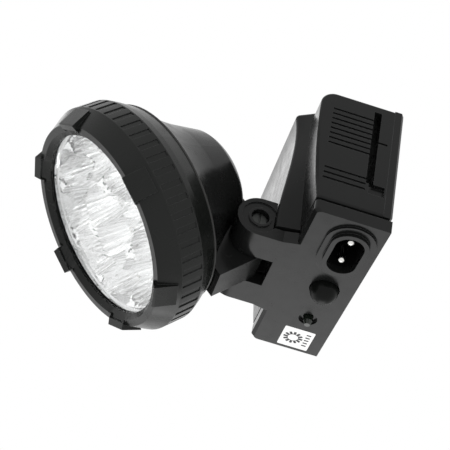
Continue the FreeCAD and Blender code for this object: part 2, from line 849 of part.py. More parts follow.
def make_bezel_ring():
    body = new_body("bezel_ring")
    ring = sketch_on(body, "XZ_Plane", "ring_outline")
    outline(
        ring,
        [
            ("spigot_radius + 0.1", "bezel_rear"),
            ("30.9", "bezel_rear"),
            ("31.2", "bezel_rear + 0.5"),
            ("34", "22"),
            ("band_radius", "rib_foot - 0.4"),
            ("band_radius", "rib_head + 0.3"),
            ("33.3", "bezel_front - 3"),
            ("31.5", "bezel_front"),
            ("rim_inner", "bezel_front"),
            ("lip_radius", "lens_face + 0.8"),
            ("lip_radius", "lens_face"),
            ("lens_radius + 0.2", "lens_face"),
            ("lens_radius + 0.2", "spigot_front"),
            ("spigot_radius + 0.1", "spigot_front"),
        ],
    )
    turned(body, "Revolution", "ring", ring)
    doc.recompute()
    gap = sketch_on(body, "XZ_Plane", "rib_gap_outline", turn="rib_start")
    rectangle(gap, "band_radius - rib_depth", "band_radius + 1", "rib_foot", "rib_head")
    gap_cut = feature(body, "Pocket", "rib_gap_cut", gap, "rib_gap", symmetric=True)
    polar(body, "rib_gaps", [gap_cut], "rib_count")
    doc.recompute()
    lug = sketch_on(body, "XZ_Plane", "lug_outline", turn="lug_start")
    outline(
        lug,
        [
            ("rim_inner - 0.6", "lug_front"),
            ("rim_inner - 0.6", "bezel_front - 1"),
            ("lug_radius - 1", "bezel_front - 1"),
            ("lug_radius - 1", "rib_head + 1.4"),
            ("lug_radius + 2.8", "rib_head + 1.4"),
            ("lug_radius + 0.3", "lug_front - 0.5"),
            ("lug_radius", "lug_front"),
        ],
    )
    polar(body, "lugs", [feature(body, "Pad", "lug", lug, "lug_width", symmetric=True)], "lug_count")
    doc.recompute()
    groove = sketch_on(body, "XZ_Plane", "seal_groove_outline")
    rectangle(groove, "spigot_radius", "spigot_radius + 1.2", "seal_foot", "seal_foot + 1.6")
    turned(body, "Groove", "seal_groove", groove)
    place_on_head(body)
    keep(body, "bezel_ring")


def ring_node(name, inner, outer, low, high):
    """A plain ring on the lens axis."""
    disc = rod(f"{name}_disc", outer, f"{high} - ({low})", ("0", "0", low))
    hole = rod(f"{name}_hole", inner, f"{high} - ({low})", ("0", "0", low))
    node = cut(name, disc, [hole])
    place_on_head(node)
    keep(node, name)


def make_seals():
    ring_node("lens_gasket", "lens_radius - 1.3", "lens_radius", "cup_mouth", "lens_face - lens_thickness")
    inner, outer = "spigot_radius + 0.02", "spigot_radius + 1.15"
    ring_node("bezel_seal", inner, outer, "seal_foot + 0.1", "seal_foot + 1.5")


def make_lens():
    disc = rod("lens_disc", "lens_radius", "lens_thickness", ("0", "0", "lens_face - lens_thickness"))
    node = group("lens", [disc])
    place_on_head(node)
    keep(node, "lens")


def cup_places():
    """Name, x, y and mouth radius of every cup: an outer ring round three in the middle."""
    places = []
    for ring in ("outer", "inner"):
        for i in range(int(DIMENSIONS[f"{ring}_cups"])):
            turn = f"(90 + {i} * 360 / {ring}_cups)"
            x, y = f"{ring}_ring * cos({turn})", f"{ring}_ring * sin({turn})"
            places.append((f"{ring}_{i}", x, y, f"{ring}_mouth"))
    return places


def make_reflector():
    plate_foot = "spigot_front - 1.2"
    flange_height, plate_height = "cup_mouth - spigot_front", f"spigot_front - ({plate_foot})"
    shells = [
        rod("reflector_flange", "lens_radius - 0.1", flange_height, ("0", "0", "spigot_front")),
        rod("reflector_plate", "hollow_radius - 0.1", plate_height, ("0", "0", plate_foot)),
    ]
    hollows = []
    for name, x, y, mouth in cup_places():
        outside = ("cup_foot_radius + 1", mouth, "cup_foot", plate_foot)
        inside = ("cup_foot_radius", mouth, "cup_foot", "cup_mouth")
        shells.append(faceted_cone(f"shell_{name}", 12, *outside, x, y))
        hollows.append(faceted_cone(f"cup_{name}", 16, *inside, x, y))
    for i in range(3):
        x, y = board_screw_place(i)
        foot = (x, y, "cup_foot")
        shells.append(prism(f"reflector_boss_{i}", 8, "1.85", f"{plate_foot} - cup_foot", foot))
        hollows.append(prism(f"boss_pilot_{i}", 6, "0.95", "6", foot))
    node = cut("reflector", joined("reflector_blank", shells), hollows)
    place_on_head(node)
    keep(node, "reflector")


def board_screw_place(i):
    turn = f"({30 + 120 * i})"
    return f"13.6 * cos({turn})", f"13.6 * sin({turn})"


def make_led_board():
    foot = "cup_foot - board_thickness"
    disc = rod("led_board_disc", "board_radius", "board_thickness", ("0", "0", foot))
    screw_holes = []
    for i in range(3):
        x, y = board_screw_place(i)
        screw_holes.append(rod(f"led_board_hole_{i}", "1", "board_thickness", (x, y, foot)))
    node = cut("led_board", disc, screw_holes)
    place_on_head(node)
    keep(node, "led_board")


def make_leds():
    leds = []
    for name, x, y, _ in cup_places():
        leds.append(prism(f"led_{name}", 12, "led_radius", "led_height", (x, y, "cup_foot")))
    node = group("leds", leds)
    place_on_head(node)
    keep(node, "leds")


def make_led_board_screws():
    """Hexagon-headed screws from behind the board into the reflector's bosses."""
    screws = []
    for i in range(3):
        x, y = board_screw_place(i)
        back = "cup_foot - board_thickness"
        head = prism(f"led_screw_head_{i}", 6, "1.8", "1.1", (x, y, f"{back} - 1.1"))
        shank = prism(f"led_screw_shank_{i}", 6, "0.9", "5.6", (x, y, back))
        screws.append(joined(f"led_board_screw_{i}", [head, shank]))
    node = group("led_board_screws", screws)
    place_on_head(node)
    keep(node, "led_board_screws")


# Underside fittings


def make_charging_inlet():
    body = new_body("charging_inlet")
    outer = sketch_on(body, "XY_Plane", "insert_outline", offset="inlet_seat")
    obround(outer, "0", "0", "inlet_width + 2 * inlet_wall - 0.2", "inlet_depth + 2 * inlet_wall - 0.2")
    feature(body, "Pad", "insert", outer, "board_level - inlet_seat")
    flange = sketch_on(body, "XY_Plane", "flange_outline", offset="wall")
    rectangle(flange, "-10.6", "9.8", "-6.6", "5.4")
    feature(body, "Pad", "flange", flange, "1.4")
    socket = sketch_on(body, "XY_Plane", "socket_outline", offset="inlet_seat")
    obround(socket, "0", "0", "inlet_width", "inlet_depth")
    feature(body, "Pocket", "socket", socket, "inlet_floor - inlet_seat", reverse=True)
    tails = sketch_on(body, "XY_Plane", "tail_holes")
    circle(tails, "pin_pitch / 2", "0", "tail_radius")
    circle(tails, "-pin_pitch / 2", "0", "tail_radius")
    feature(body, "Pocket", "tail_holes_cut", tails, "20", reverse=True)
    place_on_case(body, "inlet_x", "inlet_setback")
    keep(body, "charging_inlet")


def make_inlet_pins():
    pins = []
    for side, x in (("left", "pin_pitch / 2"), ("right", "-pin_pitch / 2")):
        bevel_top = "pin_foot + pin_bevel"
        tip = cone(f"pin_tip_{side}", "pin_radius - 0.5", "pin_radius", "pin_foot", bevel_top, x, "0")
        length = "inlet_floor - pin_foot - pin_bevel"
        shaft = rod(f"pin_shaft_{side}", "pin_radius", length, (x, "0", bevel_top))
        tail_length = "board_level + board_thickness + 0.8 - inlet_floor"
        tail = prism(f"pin_tail_{side}", 6, "tail_radius", tail_length, (x, "0", "inlet_floor"))
        pins.append(joined(f"pin_{side}", [tip, shaft, tail]))
    node = group("inlet_pins", pins)
    place_on_case(node, "inlet_x", "inlet_setback")
    keep(node, "inlet_pins")


def make_switch_button():
    body = new_body("switch_button")
    shape = sketch_on(body, "XZ_Plane", "button_outline")
    outline(
        shape,
        [
            ("0", "-button_rise"),
            ("button_radius", "button_radius - button_rise"),
            ("button_radius", "2.3"),
            ("button_radius + 1", "2.3"),
            ("button_radius + 1", "3.3"),
            ("1.6", "3.3"),
            ("1.6", "6.2"),
            ("0", "6.2"),
        ],
        {0: ("button_radius", -1)},
    )
    turned(body, "Revolution", "button", shape)
    place_on_case(body, "button_x", "button_setback")
    keep(body, "switch_button")


def make_switch():
    case = block("switch_case", ("8.4", "8.4", "board_level - 8"), ("0", "0"), "8")
    bore = rod("switch_bore", "1.5", "2", ("0", "0", "8"))
    node = cut("switch_body", case, [bore])
    place_on_case(node, "button_x", "button_setback")
    keep(node, "switch_body")
    plunger = group("switch_plunger", [rod("plunger_rod", "1.2", "2.1", ("0", "0", "6.2"))])
    place_on_case(plunger, "button_x", "button_setback")
    keep(plunger, "switch_plunger")


def make_indicator_led():
    dome = cone("indicator_dome", "0.9", "indicator_radius", "-2.3", "-0.9")
    stem = rod("indicator_stem", "indicator_radius", "5.2", ("0", "0", "-0.9"))
    flange = rod("indicator_flange", "1.9", "1", ("0", "0", "4.3"))
    leads = []
    for i, x in enumerate(("-1.27", "1.27")):
        leads.append(block(f"indicator_lead_{i}", ("0.5", "0.5", "board_level - 5.3"), (x, "0"), "5.3"))
    node = joined("indicator_led", [dome, stem, flange] + leads)
    place_on_case(node, "indicator_x", "indicator_setback")
    keep(node, "indicator_led")


# Inside the case


def make_circuit_board():
    sizes = ("board_width", "board_depth", "board_thickness")
    plate = block("board_plate", sizes, ("0", "-board_setback"), "board_level")
    holes = []
    for i, (x, y) in enumerate(BOARD_POSTS):
        holes.append(rod(f"board_hole_{i}", "post_radius + 0.1", "board_thickness", (x, y, "board_level")))
    for i, side in enumerate(("+", "-")):
        x = f"inlet_x {side} pin_pitch / 2"
        foot = (x, "-inlet_setback", "board_level")
        holes.append(rod(f"board_tail_hole_{i}", "tail_radius + 0.1", "board_thickness", foot))
    node = cut("circuit_board", plate, holes)
    place_on_case(node)
    keep(node, "circuit_board")


def make_board_parts():
    top = "board_level + board_thickness"
    node = group("film_capacitor", [block("capacitor_box", ("7", "5", "11"), ("-20.6", "-16.4"), top)])
    place_on_case(node)
    keep(node, "film_capacitor")
    diodes = []
    for i in range(4):
        diodes.append(block(f"diode_{i}", ("2.2", "4.4", "1.9"), (f"{4 + 3.4 * i}", "-16.4"), top))
    node = group("rectifier_diodes", diodes)
    place_on_case(node)
    keep(node, "rectifier_diodes")


def make_battery():
    centre = ("0", "-battery_setback - battery_depth / 2")
    sizes = ("battery_width", "battery_depth", "battery_height")
    shell = block("battery_block", sizes, centre, "battery_foot")
    node = doc.addObject("Part::Fillet", "battery")
    node.Base = shell
    doc.recompute()
    uprights = [i for i, e in enumerate(shell.Shape.Edges, start=1) if e.BoundBox.ZLength > 1]
    node.Edges = [(i, value_of("battery_round"), value_of("battery_round")) for i in uprights]
    place_on_case(node)
    keep(node, "battery")
    tabs = []
    for i, x in enumerate(("-10", "10")):
        place = (x, "-battery_setback - 5")
        tabs.append(block(f"battery_tab_{i}", ("4.8", "0.8", "3.4"), place, "battery_foot - 3.4"))
    node = group("battery_terminals", tabs)
    place_on_case(node)
    keep(node, "battery_terminals")
    depth = "battery_setback - rear_depth"
    pad = block("pad_strip", ("26", depth, "20"), ("0", f"-rear_depth - ({depth}) / 2"), "battery_foot + 4")
    node = group("battery_pad", [pad])
    place_on_case(node)
    keep(node, "battery_pad")


make_main_case()
make_rear_cover()
make_rear_cover_screws()
make_base_cover()
make_hinge_screw()
make_friction_washers()
make_head_housing()
make_bezel_ring()
make_lens()
make_seals()
make_reflector()
make_led_board()
make_leds()
make_led_board_screws()
make_charging_inlet()
make_inlet_pins()
make_switch_button()
make_switch()
make_indicator_led()
make_circuit_board()
make_board_parts()
make_battery()
doc.recompute()


def check_document():
    """Stop with the names of what failed, before anything is written."""
    failed = [o.Name for o in doc.Objects if "Invalid" in o.State or "Error" in o.State]
    for piece in SUB_PARTS:
        if piece.Shape.isNull() or not piece.Shape.isValid() or not piece.Shape.Solids:
            failed.append(piece.Label)
    if failed:
        raise RuntimeError(f"these objects failed: {failed}")


check_document()
os.makedirs("parts", exist_ok=True)
for part in SUB_PARTS:
    part.Shape.exportStep(f"parts/{part.Label}.step")
print(len(SUB_PARTS), "sub-parts written")
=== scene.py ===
import json
import math

import bmesh
import bpy
from mathutils import Matrix, Vector


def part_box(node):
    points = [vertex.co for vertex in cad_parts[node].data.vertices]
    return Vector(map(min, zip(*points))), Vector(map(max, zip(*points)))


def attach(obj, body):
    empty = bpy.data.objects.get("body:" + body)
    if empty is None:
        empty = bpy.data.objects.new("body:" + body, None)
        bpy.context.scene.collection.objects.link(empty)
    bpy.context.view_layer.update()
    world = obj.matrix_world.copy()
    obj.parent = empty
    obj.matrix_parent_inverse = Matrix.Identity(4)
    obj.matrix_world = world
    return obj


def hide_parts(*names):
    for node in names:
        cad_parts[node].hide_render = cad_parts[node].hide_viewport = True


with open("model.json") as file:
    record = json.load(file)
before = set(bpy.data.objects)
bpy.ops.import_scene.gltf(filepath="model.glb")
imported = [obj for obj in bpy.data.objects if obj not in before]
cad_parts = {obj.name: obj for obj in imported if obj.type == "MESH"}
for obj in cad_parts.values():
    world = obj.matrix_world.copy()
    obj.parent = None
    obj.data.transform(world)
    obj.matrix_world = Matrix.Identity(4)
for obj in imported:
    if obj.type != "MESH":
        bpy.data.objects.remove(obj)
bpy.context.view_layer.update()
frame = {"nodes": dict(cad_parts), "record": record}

# Lamp on a cap: +Z up as worn, -Y forward, +X to the wearer's left. Lengths are in metres.

MM = 0.001

HINGE = Vector(frame["record"]["behaviour"]["joints"][0]["pos_m"])
TILT = math.radians(46)
LENS_RISE = 26.5 * MM
CASE_FOOT = -24 * MM

# Head space: z forward along the lens axis, y up, as the head's own pieces are drawn.
HEAD = (
    Matrix.Translation(HINGE + Vector((0, -math.sin(TILT), math.cos(TILT))) * LENS_RISE)
    @ Matrix.Rotation(math.radians(90) + TILT, 4, "X")
)

# Reflector, in head space
CUP_FOOT = 15.0 * MM
CUP_MOUTH = 32.0 * MM
CUP_FOOT_RADIUS = 2.75 * MM
CUP_RIM_RADIUS = 7.9 * MM
CUP_STEPS = 7
CUP_RIBS = 32
CUP_RIDGE = 0.042
OUTER_CUPS = 9
OUTER_RING = 20.2 * MM
INNER_CUPS = 3
INNER_RING = 6.9 * MM
REFLECTOR_RADIUS = 27.3 * MM
SKIRT_FOOT = CUP_FOOT + 6 * MM
FLANGE_FOOT = 31.0 * MM
FLANGE_RADIUS = 29.3 * MM
RIM_WALL_RADIUS = 28.1 * MM
RIM_WALL_TOP = 33.15 * MM
FILM = 0.06 * MM

# Light emitting diodes, in head space. Profiles are (radius, height over the seat) in millimetres.
LED_RADIUS = 2.4 * MM
LED_HEIGHT = 7.6 * MM
LED_SEAT = CUP_FOOT + 2.6 * MM
LED_COLLAR_PROFILE = ((0, -3.1), (2.65, -3.1), (2.65, -2.0), (2.4, -1.9))
LED_CUP_PROFILE = ((0.4, -2.6), (0.45, 0), (1.1, 0.9), (1.0, 0.95), (0.5, 0.3), (0, 0.3))
PHOSPHOR_PROFILE = ((0.62, 0.45), (0.5, 0.62), (0, 0.66))

# Bezel, in head space
BEZEL_FRONT = 37.5 * MM
LUG_STEP = 36.3 * MM
LUG_RAISED = BEZEL_FRONT + 1 * MM
LUG_WAS = 28.8 * MM
LUG_NEAR = 0.4 * MM
LUG_INNER = 30.1 * MM
LUG_INNER_FRONT = 38.3 * MM
LUG_DROP = 0.5 * MM
RIB_FOOT = 24.5 * MM
RIB_HEAD = 31.4 * MM
GROOVE_WAS = 34.3 * MM
GROOVE_NEAR = 0.1 * MM
GROOVE_FLOOR = 34.76 * MM
BEAD = 0.45 * MM
BEAD_RING = 31.15 * MM
BEAD_LEVEL = 17.1 * MM
BEAD_STEPS = 12

# Seam between the case and its foot
SEAM_EDGE = CASE_FOOT + 4.6 * MM
SEAM_NEAR = 0.05 * MM
SEAM_EASE = 0.4 * MM

# Date label on the underside
LABEL_LEFT, LABEL_RIGHT = -32.6 * MM, -22.2 * MM
LABEL_FRONT, LABEL_REAR = -14.0 * MM, -4.0 * MM
LABEL_MIDDLE = Vector(((LABEL_LEFT + LABEL_RIGHT) / 2, (LABEL_FRONT + LABEL_REAR) / 2))
LABEL_FACE = CASE_FOOT - 0.1 * MM
LABEL_BACK = CASE_FOOT - 0.01 * MM
LABEL_CORNER = 0.4 * MM
LABEL_CORNER_STEPS = 4
INK = 0.02 * MM
MARK_LENGTH = 1.5 * MM
TICKS = 12
TICK_WIDTH = 0.85 * MM
TICK_RING = Vector((-27.4 * MM, -10.1 * MM))
TICK_RING_RADIUS = 2.4 * MM
BARS = 5
BAR_WIDTH = 0.6 * MM
BAR_PITCH = 1.5 * MM
FIRST_BAR = Vector((-30.2 * MM, -5.7 * MM))

# Contact pins of the inlet
PIN_RADIUS = 1.18 * MM
PIN_ROUND = 0.9 * MM
PIN_SHOULDER = 9.2 * MM
PIN_TAIL_RADIUS = 0.7 * MM

# Studio
CAMERA_PLACE = Vector((0.2698, -0.0713, -0.2346))
CAMERA_TARGET = Vector((0.00396, -0.04282, -0.01376))
CAMERA_ROLL = math.radians(13.05)
CAMERA_LENS = 92
CAMERA_SENSOR = 36
CAMERA_CLIP = 0.01
FLOOR_HEIGHT = -0.6
FLOOR_RADIUS = 4
LAMPS = (
    # name, place, aimed at, side, power in watts
    ("soft_low", (-0.27, 0.04, -0.235), (0, -0.01, -0.02), 0.2, 0.24),
    ("soft_high", (-0.36, -0.21, 0.3), (0, -0.04, 0), 0.25, 0.17),
    ("soft_front", (-0.3, -0.42, -0.17), (0, -0.06, -0.02), 0.34, 0.24),
)


# Small helpers


def new_object(name, mesh, body, material=None):
    if material:
        mesh.materials.append(material)
    piece = bpy.data.objects.new(name, mesh)
    bpy.context.scene.collection.objects.link(piece)
    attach(piece, body)
    return piece


def mesh_from(name, bm, smooth=True, recalc=True):
    mesh = bpy.data.meshes.new(name)
    if recalc:
        bmesh.ops.recalc_face_normals(bm, faces=bm.faces)
    bm.to_mesh(mesh)
    bm.free()
    for face in mesh.polygons:
        face.use_smooth = smooth
    return mesh


def circle_point(turn, radius=1.0):
    return Vector((radius * math.cos(turn), radius * math.sin(turn)))


def lathe(bm, profile, place, sides=48):
    """Turn a profile of (radius, height) pairs about place's own Z."""
    rings = []
    for radius, height in profile:
        if radius < 1e-7:
            rings.append([bm.verts.new(place @ Vector((0, 0, height)))])
            continue
        spots = [circle_point(math.tau * i / sides, radius) for i in range(sides)]
        rings.append([bm.verts.new(place @ Vector((spot.x, spot.y, height))) for spot in spots])
    for low, high in zip(rings, rings[1:]):
        for i in range(sides):
            after = (i + 1) % sides
            corners = [low[i % len(low)], low[after % len(low)]]
            corners += [high[after % len(high)], high[i % len(high)]]
            unique = list(dict.fromkeys(corners))
            if len(unique) > 2:
                bm.faces.new(unique)


def raised(profile, foot):
    """A profile in millimetres as metres, with its heights measured from foot."""
    return [(radius * MM, foot + height * MM) for radius, height in profile]


# Materials


def shader_tree(name):
    material = bpy.data.materials.new(name)
    material.use_nodes = True
    nodes = material.node_tree.nodes
    return material, nodes, material.node_tree.links, nodes["Principled BSDF"]


def noise(nodes, links, scale, detail=4.0, stretch=None):
    """Noise in the object's own space, so that it stays on the piece in every pose."""
    place = nodes.new("ShaderNodeTexCoord")
    source = place.outputs["Object"]
    if stretch:
        mapping = nodes.new("ShaderNodeMapping")
        mapping.inputs["Scale"].default_value = stretch
        links.new(source, mapping.inputs["Vector"])
        source = mapping.outputs["Vector"]
    texture = nodes.new("ShaderNodeTexNoise")
    texture.inputs["Scale"].default_value = scale
    texture.inputs["Detail"].default_value = detail
    links.new(source, texture.inputs["Vector"])
    return texture.outputs["Fac"]


def spread(nodes, links, source, low, high, start=0.3, end=0.7):
    """Map a value that runs from start to end on to low to high."""
    ramp = nodes.new("ShaderNodeMapRange")
    ramp.inputs["From Min"].default_value = start
    ramp.inputs["From Max"].default_value = end
    ramp.inputs["To Min"].default_value = low
    ramp.inputs["To Max"].default_value = high
    links.new(source, ramp.inputs["Value"])
    return ramp.outputs["Result"]


def blended(nodes, links, factor, first, second):
    """Mix two colours, each one a tuple or another node's output."""
    mix = nodes.new("ShaderNodeMix")
    mix.data_type = "RGBA"
    links.new(factor, mix.inputs["Factor"])
    for socket, colour in (("A", first), ("B", second)):
        target = next(s for s in mix.inputs if s.name == socket and s.type == "RGBA")
        if isinstance(colour, tuple):
            target.default_value = (*colour, 1)
        else:
            links.new(colour, target)
    return next(s for s in mix.outputs if s.type == "RGBA")


def scaled(colour, factor, lift=0.0):
    return tuple(min(1, c * factor + lift) for c in colour)


def bumped(nodes, links, shader, height, strength, distance, under=None):
    """Fine relief on the shader's normal."""
    bump = nodes.new("ShaderNodeBump")
    bump.inputs["Strength"].default_value = strength
    bump.inputs["Distance"].default_value = distance
    links.new(height, bump.inputs["Height"])
    if under:
        links.new(under, bump.inputs["Normal"])
    links.new(bump.outputs["Normal"], shader.inputs["Normal"])


def edge_mask(nodes, links, radius):
    """One near a sharp edge and nothing on flat ground; also the normal that rounds that edge."""
    bevel = nodes.new("ShaderNodeBevel")
    bevel.samples = 6
    bevel.inputs["Radius"].default_value = radius
    geometry = nodes.new("ShaderNodeNewGeometry")
    dot = nodes.new("ShaderNodeVectorMath")
    dot.operation = "DOT_PRODUCT"
    links.new(bevel.outputs["Normal"], dot.inputs[0])
    links.new(geometry.outputs["Normal"], dot.inputs[1])
    mask = spread(nodes, links, dot.outputs["Value"], 1.0, 0.0, 0.75, 0.99)
    return mask, bevel.outputs["Normal"]


# Pale grey painted along the sharp edges of the moulded plastics as a highlight.
EDGE_HIGHLIGHT_GREY = (0.1, 0.1, 0.102)


def moulded_plastic(name, colour, roughness, edge_highlight=EDGE_HIGHLIGHT_GREY, specular=0.16):
    """Injection-moulded plastic: fine grain, slow colour drift, and a painted highlight of paler colour along
    sharp edges.
    """
    material, nodes, links, shader = shader_tree(name)
    mask, rounded = edge_mask(nodes, links, 0.14 * MM)
    drift = noise(nodes, links, 60, 3)
    base = blended(nodes, links, drift, colour, scaled(colour, 1.35, 0.002))
    # Painted highlight: near a sharp edge the colour is mixed towards the pale edge colour, broken up by
    # noise.
    highlight_breakup = noise(nodes, links, 900, 6)
    painted_highlight = nodes.new("ShaderNodeMath")
    painted_highlight.operation = "MULTIPLY"
    links.new(mask, painted_highlight.inputs[0])
    links.new(spread(nodes, links, highlight_breakup, 0.35, 1.0), painted_highlight.inputs[1])
    links.new(blended(nodes, links, painted_highlight.outputs["Value"], base, edge_highlight), shader.inputs["Base Color"])
    grain = noise(nodes, links, 2600, 3)
    polish = noise(nodes, links, 260, 5)
    links.new(spread(nodes, links, polish, roughness - 0.05, roughness + 0.07), shader.inputs["Roughness"])
    bumped(nodes, links, shader, grain, 0.1, 0.03 * MM, under=rounded)
    shader.inputs["Specular IOR Level"].default_value = specular
    return material


def metal(name, colour, roughness, stretch=None):
    """Plated metal with drawing marks along one direction."""
    material, nodes, links, shader = shader_tree(name)
    marks = noise(nodes, links, 1500, 4, stretch)
    links.new(blended(nodes, links, marks, scaled(colour, 0.82), colour), shader.inputs["Base Color"])
    links.new(spread(nodes, links, marks, roughness, roughness + 0.15), shader.inputs["Roughness"])
    shader.inputs["Metallic"].default_value = 1
    return material


def clear(name, tint, roughness, ior):
    """Clear moulding with a faint uneven polish."""
    material, nodes, links, shader = shader_tree(name)
    haze = noise(nodes, links, 400, 4)
    links.new(spread(nodes, links, haze, roughness, roughness + 0.015), shader.inputs["Roughness"])
    links.new(blended(nodes, links, haze, tint, scaled(tint, 1.01)), shader.inputs["Base Color"])
    shader.inputs["Transmission Weight"].default_value = 1
    shader.inputs["IOR"].default_value = ior
    return material


def mirror_film():
    """Vacuum metallising on the reflector: very bright, with slightly uneven polish."""
    material, nodes, links, shader = shader_tree("mirror_film")
    cloud = noise(nodes, links, 500, 4)
    silver = blended(nodes, links, cloud, (0.91, 0.915, 0.915), (0.97, 0.97, 0.97))
    links.new(silver, shader.inputs["Base Color"])
    links.new(spread(nodes, links, cloud, 0.1, 0.16), shader.inputs["Roughness"])
    shader.inputs["Metallic"].default_value = 1
    return material


def printed_film():
    """Matt white label stock."""
    material, nodes, links, shader = shader_tree("label_white")
    fibre = noise(nodes, links, 3000, 5)
    stock = blended(nodes, links, fibre, (0.93, 0.93, 0.92), (0.97, 0.97, 0.96))
    links.new(stock, shader.inputs["Base Color"])
    links.new(spread(nodes, links, fibre, 0.42, 0.55), shader.inputs["Roughness"])
    return material


def tinted(name, colour, roughness):
    """A matt coloured material with a fine speckle."""
    material, nodes, links, shader = shader_tree(name)
    grain = noise(nodes, links, 1200, 5)
    links.new(blended(nodes, links, grain, scaled(colour, 0.75), colour), shader.inputs["Base Color"])
    links.new(spread(nodes, links, grain, roughness, roughness + 0.1), shader.inputs["Roughness"])
    bumped(nodes, links, shader, grain, 0.2, 0.05 * MM)
    return material


def studio_paper():
    """Pale seamless paper of the floor."""
    material, nodes, links, shader = shader_tree("studio_floor")
    mottle = noise(nodes, links, 40, 3)
    links.new(blended(nodes, links, mottle, (0.9, 0.9, 0.9), (0.92, 0.92, 0.92)), shader.inputs["Base Color"])
    shader.inputs["Roughness"].default_value = 0.9
    return material


# Deep black of the inlet moulding, taken darker than the housing so that it also paints the shade inside the
# socket.
DEEP_BLACK = (0.0025, 0.0025, 0.0025)
DULL_BLACK = (0.006, 0.006, 0.006)
MATERIALS = {
    "housing_plastic": moulded_plastic("housing_plastic", (0.0066, 0.0069, 0.0067), 0.22),
    "bezel_plastic": moulded_plastic("bezel_plastic", (0.0055, 0.0062, 0.0055), 0.24, specular=0.22),
    # The bead's plastic is paler than the bezel's so that its line shows brighter: a painted highlight.
    "bezel_edge": moulded_plastic("bezel_edge", (0.03, 0.03, 0.029), 0.18),
    "button_plastic": moulded_plastic("button_plastic", (0.0035, 0.004, 0.0035), 0.28, specular=0.1),
    # The inlet's own black, deepened to paint the shade inside the socket as well; its edges take a
    # dull-black painted highlight.
    "inlet_plastic": moulded_plastic("inlet_plastic", DEEP_BLACK, 0.6, edge_highlight=DULL_BLACK, specular=0.1),
    "lens_clear": clear("lens_clear", (0.99, 1.0, 1.0), 0.0, 1.49),
    "led_epoxy": clear("led_epoxy", (1.0, 1.0, 0.99), 0.02, 1.5),
    "indicator_epoxy": tinted("indicator_epoxy", (0.012, 0.016, 0.012), 0.16),
    "reflector_metallised": mirror_film(),
    "seal_rubber": tinted("seal_rubber", (0.012, 0.012, 0.012), 0.6),
    "screw_steel": metal("screw_steel", (0.06, 0.062, 0.06), 0.4),
    "pin_metal": metal("pin_metal", (0.88, 0.87, 0.84), 0.16, stretch=(1, 1, 0.1)),
    "washer_fibre": tinted("washer_fibre", (0.3, 0.17, 0.09), 0.7),
    "board_laminate": tinted("board_laminate", (0.03, 0.16, 0.06), 0.35),
    "switch_plastic": tinted("switch_plastic", (0.03, 0.03, 0.03), 0.45),
    "capacitor_box": tinted("capacitor_box", (0.6, 0.25, 0.06), 0.35),
    "diode_body": tinted("diode_body", (0.02, 0.02, 0.02), 0.5),
    "battery_case": tinted("battery_case", (0.07, 0.08, 0.1), 0.4),
    "foam": tinted("foam", (0.06, 0.06, 0.06), 0.9),
}


def dress_nodes():
    slot_of = {part["node"]: part["material_slot"] for part in frame["record"]["subparts"]}
    for name, node in frame["nodes"].items():
        node.data.materials.clear()
        node.data.materials.append(MATERIALS[slot_of[name]])


# Light unit


def cup_centres():
    rings = ((OUTER_RING, OUTER_CUPS), (INNER_RING, INNER_CUPS))
    quarter = math.radians(90)
    return [circle_point(quarter + math.tau * i / count, ring) for ring, count in rings for i in range(count)]


def cell_reach(centre, others, direction):
    """How far a cup runs in one direction before it meets a neighbour or the reflector's rim."""
    along = centre.dot(direction)
    reach = -along + math.sqrt(along * along + REFLECTOR_RADIUS**2 - centre.length_squared)
    for other in others:
        gap = other - centre
        facing = gap.dot(direction)
        if facing > 0:
            reach = min(reach, gap.length_squared / (2 * facing))
    return reach


def cup_column(centre, direction, reach, ridge):
    """Points up one side of a cup: its parabola from the foot, then the flat way to the crest."""
    rise = (CUP_MOUTH - CUP_FOOT) / (CUP_RIM_RADIUS**2 - CUP_FOOT_RADIUS**2)
    bowl = min(reach, CUP_RIM_RADIUS)
    points = []
    for step in range(CUP_STEPS + 1):
        radius = CUP_FOOT_RADIUS + (bowl - CUP_FOOT_RADIUS) * step / CUP_STEPS
        height = CUP_FOOT + rise * (radius**2 - CUP_FOOT_RADIUS**2) / ridge
        points.append((centre + direction * radius, height))
    points.append((centre + direction * max(reach, bowl), min(height, CUP_MOUTH)))
    return [HEAD @ Vector((spot.x, spot.y, height)) for spot, height in points]


def make_reflector():
    """Twelve ribbed parabolic cups that meet in scalloped crests, in a skirt with a rim wall."""
    bm = bmesh.new()
    centres = cup_centres()
    for centre in centres:
        others = [c for c in centres if c is not centre]
        columns = []
        for i in range(CUP_RIBS * 2):
            direction = circle_point(math.tau * i / (CUP_RIBS * 2))
            reach = cell_reach(centre, others, direction)
            ridge = 1 + (CUP_RIDGE if i % 2 else 0)
            columns.append([bm.verts.new(point) for point in cup_column(centre, direction, reach, ridge)])
        for column, after in zip(columns, columns[1:] + columns[:1]):
            for low in range(CUP_STEPS + 1):
                bm.faces.new((column[low], after[low], after[low + 1], column[low + 1]))
    film = MATERIALS["reflector_metallised"]
    cups = mesh_from("reflector_cups", bm, smooth=False, recalc=False)
    cups = new_object("reflector_cups", cups, "head", film)
    bm = bmesh.new()
    profile = [
        (REFLECTOR_RADIUS, SKIRT_FOOT),
        (REFLECTOR_RADIUS, CUP_MOUTH),
        (RIM_WALL_RADIUS, CUP_MOUTH + FILM),
        (RIM_WALL_RADIUS, RIM_WALL_TOP),
        (RIM_WALL_RADIUS + FILM, RIM_WALL_TOP),
        (RIM_WALL_RADIUS + FILM, CUP_MOUTH + FILM),
        (FLANGE_RADIUS, CUP_MOUTH + FILM),
        (FLANGE_RADIUS, FLANGE_FOOT),
        (REFLECTOR_RADIUS + FILM, FLANGE_FOOT),
        (REFLECTOR_RADIUS + FILM, SKIRT_FOOT),
    ]
    lathe(bm, profile, HEAD, 128)
    skirt = mesh_from("reflector_skirt", bm, smooth=False)
    new_object("reflector_skirt", skirt, "head", film)
    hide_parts("reflector")


